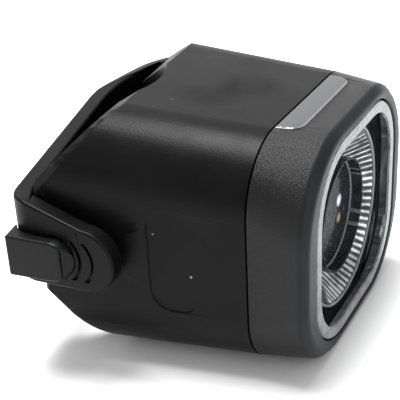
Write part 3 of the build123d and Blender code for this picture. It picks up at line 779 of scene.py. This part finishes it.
for side in (1, -1):
    for angle in rim_angles:
        point, outward, turn_angle = near_rim(angle)
        cut_depth = rim_round * (1 / math.cos(turn_angle / 2) - 1)
        place = point - outward * cut_depth
        edit(housing)
        bpy.ops.mesh.select_all(action="SELECT")
        bpy.ops.mesh.bisect(
            plane_co=(place.x, place.y, side * place.z),
            plane_no=(outward.x, outward.y, side * outward.z),
            use_fill=True, clear_outer=True, threshold=1e-6,
        )
        close_edit()
print("near rims cut,", len(housing.data.polygons), "faces")

# %% [markdown]
# ## The rear housing
# The other outer edges of the real shell are rounded by about half a millimetre. A whole new
# shell would lose the exact seat and pockets, so the copy of the CAD shell is bevelled instead.
# Only edges of the outside are picked, by where they lie. The pockets inside stay as they are.

# %% Housing shell
shell_round = 0.0005
shell_front_x = 0.0385
shortest_edge = 0.00015
seat_reach = 0.0162
top_y = 0.0255
top_front_x = 0.0155
horn_half_z = 0.0095
horn_front_x = 0.0165


def on_outside(edge):
    """Crisp outer edges of the shell, away from its inside and its small cut-outs."""
    middle = middle_of(edge)
    if not crisp(edge, 25.0) or middle.x > shell_front_x or edge.calc_length() < shortest_edge:
        return False
    seat = math.hypot(middle.x, middle.y) < seat_reach
    top = middle.y > top_y and middle.x < top_front_x
    horns = abs(middle.z) > horn_half_z and middle.x < horn_front_x
    return horns or top or seat


round_edges(housing, on_outside, shell_round, 2)
smooth(housing)
housing.data.materials.append(housing_plastic)
settle(housing, "rear_housing")
print("housing", len(housing.data.polygons), "faces")

# %% [markdown]
# ## The bezel
# The frame round the lens has a fine spark-eroded grain on its sides and a smooth band in front,
# where the mould was polished. The band could be a piece of its own, but it is part of one
# moulding, so its faces only get a second finish. The two loops of edges that bound it are
# rounded, and they catch the light all round.

# %% Bezel
bezel = copy_node("front_bezel", "bezel_frame")
front_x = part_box("front_bezel")[1].x
band_depth = 0.0011
band_round = 0.00042
band_margin = 0.0003
same_place = 1e-5


def on_band(edge):
    """The two loops that bound the sloping band in front."""
    ends = [vert.co for vert in edge.verts]
    if not crisp(edge, 20.0):
        return False
    outer_front = all(abs(end.x - front_x) < same_place for end in ends)
    outer_rear = all(abs(end.x - (front_x - band_depth)) < same_place for end in ends)
    return outer_front or outer_rear


round_edges(bezel, on_band, band_round, 3)
smooth(bezel)
bezel.data.materials.append(bezel_plastic)
bezel.data.materials.append(band_plastic)
for face in bezel.data.polygons:
    if face.center.x > front_x - band_depth - band_margin:
        face.material_index = 1
settle(bezel, "front_bezel")
print("bezel", len(bezel.data.polygons), "faces")

# %% [markdown]
# ## The lens
# The lens is one clear moulding with a raised frosted rim. Two finishes on one piece do this:
# the faces of the rim get the pale one, and the sunk window stays clear. The window is a square
# with rounded corners, so a face is tested against its straight sides and its corner circles.

# %% Lens
lens = copy_node("front_lens", "lens_window")
lens_low, lens_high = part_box("front_lens")
lens_mid_y = (lens_low.y + lens_high.y) / 2
half_y = (lens_high.y - lens_low.y) / 2
half_z = lens_high.z
rim_inset = 0.0021
rim_corner = 0.0115
rim_height = 0.0003
front_margin = 0.0004
lens_round = 0.0001


def on_lens_front(edge):
    """Crisp edges of the lens's front rim."""
    return crisp(edge, 30.0) and middle_of(edge).x > lens_high.x - front_margin


def on_rim(face):
    """Faces of the raised rim, and of the wall round the window."""
    offset_y = abs(face.center.y - lens_mid_y)
    offset_z = abs(face.center.z)
    raised = face.center.x > lens_high.x - rim_height
    beside = offset_y > half_y - rim_inset or offset_z > half_z - rim_inset
    corner_y = max(0, offset_y - half_y + rim_corner)
    corner_z = max(0, offset_z - half_z + rim_corner)
    return raised or beside or math.hypot(corner_y, corner_z) > rim_corner - rim_inset


round_edges(lens, on_lens_front, lens_round, 2)
smooth(lens)
lens.data.materials.append(lens_clear)
lens.data.materials.append(lens_rim_pale)
for face in lens.data.polygons:
    if on_rim(face):
        face.material_index = 1
settle(lens, "front_lens")
print("lens", len(lens.data.polygons), "faces")

# %% [markdown]
# ## The reflector
# The bowl is bright and ribbed, and the square plate round it is a dark mirror. Both are one
# moulding, so the flat faces in front get the second finish. The angle for smooth shading is
# small here, so the facets of the bowl stay crisp and sparkle.

# %% Reflector
reflector = copy_node("reflector", "reflector_bowl")
plate_front_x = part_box("reflector")[1].x
plate_margin = 0.0001
facing_front = 0.9
smooth(reflector, angle=8.0)
reflector.data.materials.append(bowl_silver)
reflector.data.materials.append(flange_dark)
for face in reflector.data.polygons:
    if face.center.x > plate_front_x - plate_margin and abs(face.normal.x) > facing_front:
        face.material_index = 1
settle(reflector, "reflector")
print("reflector", len(reflector.data.polygons), "faces")

# %% [markdown]
# ## Rings round the axis
# A pale bead runs round the mouth of the bowl, and its pale tone is a painted highlight where the lip
# catches the light. A torus primitive would do for it, but the optic's tube has a square section, so all
# rings are made alike: a small closed profile is drawn beside the axis and spun once round it. The ends of
# the spin are welded, and the faces turned outward.

# %% Bead round the bowl
ring_steps = 120
bead_radius = 0.01465
bead_half = 0.0003
bead_lift = 0.00002
ring_crisp = 40.0


def spun_ring(name, profile, steps, finish):
    """Ring round the optical axis from a closed profile of (x, radius) points."""
    mesh = bpy.data.meshes.new(name)
    ring = bpy.data.objects.new(name, mesh)
    bpy.context.scene.collection.objects.link(ring)
    points = [(x, optic_y + radius, 0.0) for x, radius in profile]
    count = len(points)
    mesh.from_pydata(points, [(i, (i + 1) % count) for i in range(count)], [])
    edit(ring, "VERT")
    bpy.ops.mesh.select_all(action="SELECT")
    bpy.ops.mesh.spin(
        steps=steps, angle=math.tau, center=(0, optic_y, 0), axis=(1, 0, 0),
    )
    bpy.ops.mesh.select_all(action="SELECT")
    bpy.ops.mesh.remove_doubles(threshold=weld_gap)
    bpy.ops.mesh.normals_make_consistent(inside=False)
    close_edit()
    smooth(ring, ring_crisp)
    ring.data.materials.append(finish)
    return ring


def round_profile(x, radius, half, sides=10):
    """Small circle of points as a ring's profile."""
    angles = [math.tau * i / sides for i in range(sides)]
    return [(x + half * math.cos(a), radius + half * math.sin(a)) for a in angles]


bead_profile = round_profile(plate_front_x + bead_lift, bead_radius, bead_half)
bead = spun_ring("bowl_bead", bead_profile, ring_steps, ring_painted_highlight)
join_in(bead, "reflector")
print("bead", len(bead.data.polygons), "faces")

# %% [markdown]
# ## The optic
# The optic is a clear funnel with a short tube in front. The CAD has the funnel, so the tube is
# spun onto it, in steps fine enough that small tabs can be picked from its wall later.

# %% Funnel and tube
collimator = copy_node("collimator", "optic_cone")
smooth(collimator, angle=24.0)
# The clear funnel takes the near-black finish: painted shade for the dark it mirrors.
collimator.data.materials.append(optic_painted_shade)
settle(collimator, "collimator")
tube_set_back = 0.0001
tube_overlap = 0.0004
tube_rear_x = 0.0444
tube_front_x = plate_front_x - tube_set_back
tube_start_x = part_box("collimator")[1].x - tube_overlap
tube_radius = 0.0091
tube_wall = 0.0003
tube_steps = 180
tube_profile = [
    (tube_start_x, tube_radius),
    (tube_rear_x, tube_radius),
    (tube_front_x, tube_radius),
    (tube_front_x, tube_radius + tube_wall),
    (tube_start_x, tube_radius + tube_wall),
]
# The tube is painted near-black as well, as painted shade.
tube = spun_ring("optic_tube", tube_profile, tube_steps, optic_painted_shade)
tube.data.materials.append(ring_painted_highlight)
print("tube", len(tube.data.polygons), "faces")

# %% [markdown]
# Pairs of small tabs stand on the tube's inner wall. They could be boxes laid against it, but
# faces of the wall that are pushed inward follow its curve and leave no gap.

# %% Tabs in the tube
tab_turns = [25.0, 33.0, -22.0, -36.0, 145.0, 153.0, 207.0, 215.0]
tab_reach = 1.01
tab_height = 0.00025
facing_end = 0.5


def on_tab(face):
    """Faces of the tube's inner wall, in front of the pale line, at the turns of the tabs."""
    middle = face.calc_center_median()
    if middle.x < tube_rear_x or abs(face.normal.x) > facing_end:
        return False
    if math.hypot(middle.y - optic_y, middle.z) >= tube_radius + tube_wall / 3:
        return False
    here = math.degrees(math.atan2(middle.z, middle.y - optic_y)) % 360
    return any(abs(here - tab_turn % 360) < tab_reach for tab_turn in tab_turns)


edit(tube, "FACE")
tab_count = pick(tube, on_tab, "faces")
bpy.ops.mesh.extrude_region_shrink_fatten(TRANSFORM_OT_shrink_fatten={"value": tab_height})
close_edit()
for face in tube.data.polygons:
    if face.select:
        face.material_index = 1
join_in(tube, "collimator")
print("optic tube with", tab_count, "tab faces")

# %% [markdown]
# A pale line runs round where the tube begins, and its pale tone is a painted highlight. A near-black pane
# closes the funnel there, as painted shade. The pane carries the painted glint and the painted image of
# the yellow emitter, so both stay put when the light is turned.

# %% Pale line and pane
line_half = 0.0002
line_sink = 0.0001
pane_depth = 0.0004
pane_core = 0.00002
pane_steps = 60
line_profile = round_profile(tube_rear_x, tube_radius - line_sink, line_half)
rim_line = spun_ring("optic_line", line_profile, ring_steps, ring_painted_highlight)
join_in(rim_line, "collimator")
pane_profile = [
    (tube_rear_x - pane_depth, pane_core),
    (tube_rear_x, pane_core),
    (tube_rear_x, tube_radius),
    (tube_rear_x - pane_depth, tube_radius),
]
pane = spun_ring("optic_pane", pane_profile, pane_steps, optic_painted_shade)
join_in(pane, "collimator")
print("pane", len(pane.data.polygons), "faces, line", len(rim_line.data.polygons), "faces")

# %% [markdown]
# ## The side windows
# A frosted window sits in each side of the bezel. Its polished bevel shows as a bright line, and fine
# lines run across the frosted face. The CAD has the bevel, so its faces only get a paler colour than the
# flat one: a painted highlight for the light the bevel catches.

# %% Side windows
facing_side = 0.99
for node, side in (("side_window_upper", 1), ("side_window_lower", -1)):
    window = copy_node(node, node + "_pane")
    low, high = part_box(node)
    outer_z = high.z if side > 0 else low.z
    smooth(window)
    window.data.materials.append(window_frosted)
    window.data.materials.append(window_rim_painted_highlight)
    for face in window.data.polygons:
        outermost = abs(face.center.z - outer_z) < 2 * same_place
        if not (outermost and abs(face.normal.z) > facing_side):
            face.material_index = 1
    settle(window, node)
print("side windows finished")

# %% [markdown]
# ## The strap
# The strap is a moulded rubber band that hugs the horns. Its CAD outline is drawn from many short
# edges, so the copy is welded with a wider gap before its long edges are rounded. The grip
# grooves of the pull tab are shallow and crisp, so they are left out of the rounding.

# %% Strap
strap_weld = 0.00011
strap = copy_node("strap", "strap_band", weld=strap_weld, split=False)
strap_round = 0.00045
strap_shortest = 0.0001
groove_y = -0.0233
groove_low_x = 0.0125
groove_high_x = 0.0185
groove_half_z = 0.0038
root_x = 0.0045


def on_strap(edge):
    """Crisp edges of the strap outside the housing, but not those of its grooves."""
    middle = middle_of(edge)
    in_grooves = groove_low_x < middle.x < groove_high_x and abs(middle.z) < groove_half_z
    grooved = middle.y < groove_y and in_grooves
    inside = middle.x > root_x and middle.y > 0.0
    return crisp(edge, 30.0) and not grooved and not inside and edge.calc_length() > strap_shortest


round_edges(strap, on_strap, strap_round, 3, clamp=False)
smooth(strap)
strap.data.materials.append(strap_rubber)
settle(strap, "strap")
print("strap", len(strap.data.polygons), "faces")

# %% [markdown]
# ## The hook
# The hook is a hard moulding with a block-shaped head. The head's outer edges are rounded. Two
# places keep their CAD edges, because the faces there are too small to take a rounding: the edge
# under the nose, and the lip behind.

# %% Hook
hook = copy_node("strap_hook", "hook_head", split=False)
hook_round = 0.0004
head_y = -0.0215
nose_x = 0.0095
nose_y = -0.0250
lip_x = 0.0031
lip_y = -0.0229


def on_hook(edge):
    """Crisp edges of the hook's head."""
    middle = middle_of(edge)
    under_nose = middle.x > nose_x and middle.y > nose_y
    rear_lip = middle.x < lip_x and middle.y > lip_y
    return crisp(edge, 25.0) and middle.y < head_y and not under_nose and not rear_lip


round_edges(hook, on_hook, hook_round, 3, clamp=False)
smooth(hook)
hook.data.materials.append(hook_plastic)
settle(hook, "strap_hook")
print("hook", len(hook.data.polygons), "faces")

# %% [markdown]
# ## Button and port cover
# Both are soft rubber, so their edges are rounder than the CAD's small chamfers. The rounding is
# the same step for both, and only its width differs.

# %% Button and port cover
rubber_pieces = [("power_button", "button_cap", 0.00015), ("port_cover", "port_flap", 0.0002)]
for node, name, width in rubber_pieces:
    piece = copy_node(node, name)
    round_edges(piece, lambda edge: crisp(edge, 25.0), width, 2)
    smooth(piece)
    piece.data.materials.append(soft_rubber)
    settle(piece, node)
print(len(rubber_pieces), "rubber pieces finished")

# %% [markdown]
# ## The floor
# The light rests on its flat side face, which leans a few degrees, so the floor leans with it.
# Turning the light instead would move every piece out of the frame that they share.

# %% Floor
floor_size = 3.0
rest_place = (0.0134, 0.0, -0.02061)
side_lean = math.atan(side_slope)
bpy.ops.object.select_all(action="DESELECT")
bpy.ops.mesh.primitive_plane_add(size=floor_size, location=(0, 0, 0))
floor = bpy.context.object
floor.name = "floor"
floor.matrix_world = Matrix.Translation(rest_place) @ Matrix.Rotation(-side_lean, 4, "Y")
pale, pale_tree, pale_shader, pale_coordinates = new_finish("floor_pale")
paper = noise(pale_tree, pale_coordinates, 8.0, 2.0)
pale_colour = ramp(pale_tree, paper, [(0.3, (0.86, 0.86, 0.86)), (0.7, (0.88, 0.88, 0.88))])
pale_tree.links.new(pale_colour, pale_shader.inputs["Base Color"])
pale_shader.inputs["Roughness"].default_value = 0.9
floor.data.materials.append(pale)
print("floor leans", round(math.degrees(side_lean), 2), "degrees")

# %% [markdown]
# ## The studio
# A soft light overhead makes the shine on the bezel's corner, a large one behind is mirrored in
# the top face, and a weaker one in front keeps the lens readable. Dark gloss shows mostly what
# it mirrors, so each light stands where the face that should shine would mirror it. The white
# surround fills the rest.

# %% Lights
light_aim = Vector((0.02, 0.0, 0.0))
sky_strength = 0.7


def soft_light(name, place, size, power):
    """Square area light that faces the object."""
    data = bpy.data.lights.new(name, "AREA")
    data.shape = "SQUARE"
    data.size = size
    data.energy = power
    light = bpy.data.objects.new(name, data)
    bpy.context.scene.collection.objects.link(light)
    light.location = place
    light.rotation_euler = (light_aim - Vector(place)).to_track_quat("-Z", "Y").to_euler()
    return light


soft_light("overhead", (-0.065, 0.04, 0.57), size=0.26, power=6.2)
soft_light("behind", (-0.29, 0.55, 0.32), size=0.7, power=1.0)
soft_light("front", (0.55, -0.15, 0.22), size=0.4, power=0.5)

world = bpy.data.worlds.new("studio")
bpy.context.scene.world = world
world.use_nodes = True
sky = world.node_tree.nodes["Background"]
sky.inputs["Color"].default_value = (1.0, 1.0, 1.0, 1.0)
sky.inputs["Strength"].default_value = sky_strength
print("lights placed, surround at", sky_strength)
